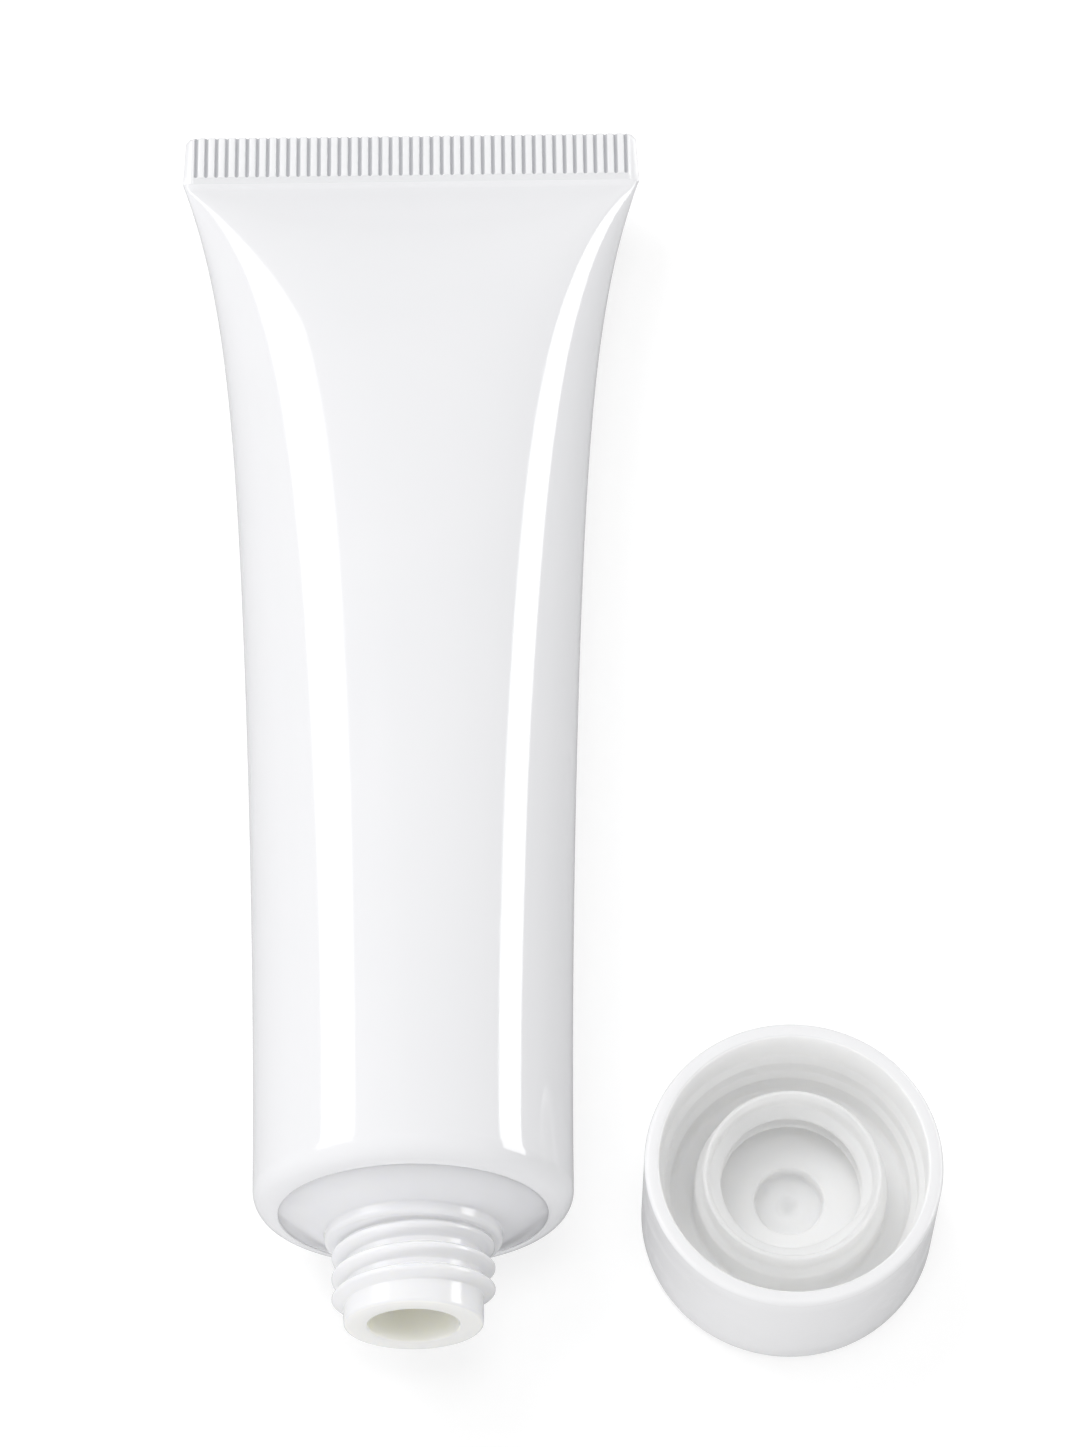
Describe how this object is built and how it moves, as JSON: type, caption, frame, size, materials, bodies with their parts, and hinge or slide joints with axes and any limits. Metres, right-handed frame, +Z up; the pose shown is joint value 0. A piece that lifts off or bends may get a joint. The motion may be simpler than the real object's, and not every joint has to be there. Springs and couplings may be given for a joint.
{
  "type": "cosmetic squeeze tube",
  "caption": "Empty plastic squeeze tube with a flat ribbed end seal and a coarse-threaded neck, lying beside its screw cap, which stands rim up.",
  "frame": {"origin": "on the floor, under the middle of the bounding box of the tube and the cap together", "axes": "+Z up; +Y horizontally from the tube's mouth to its sealed end; +X from the tube to the cap. The lying tube's own axis dips towards the seal by about 2.1 degrees, as an empty tube comes to rest."},
  "size_m": [0.0732, 0.1314, 0.0307],
  "materials": {
    "sleeve": "glossy white film with a soft sheen",
    "head": "moulded white plastic, faintly translucent",
    "cap": "moulded white plastic with a satin gloss"
  },
  "bodies": {
    "root": {"sleeve": "sleeve", "head": "head", "cap": "cap"}
  },
  "joints": []
}
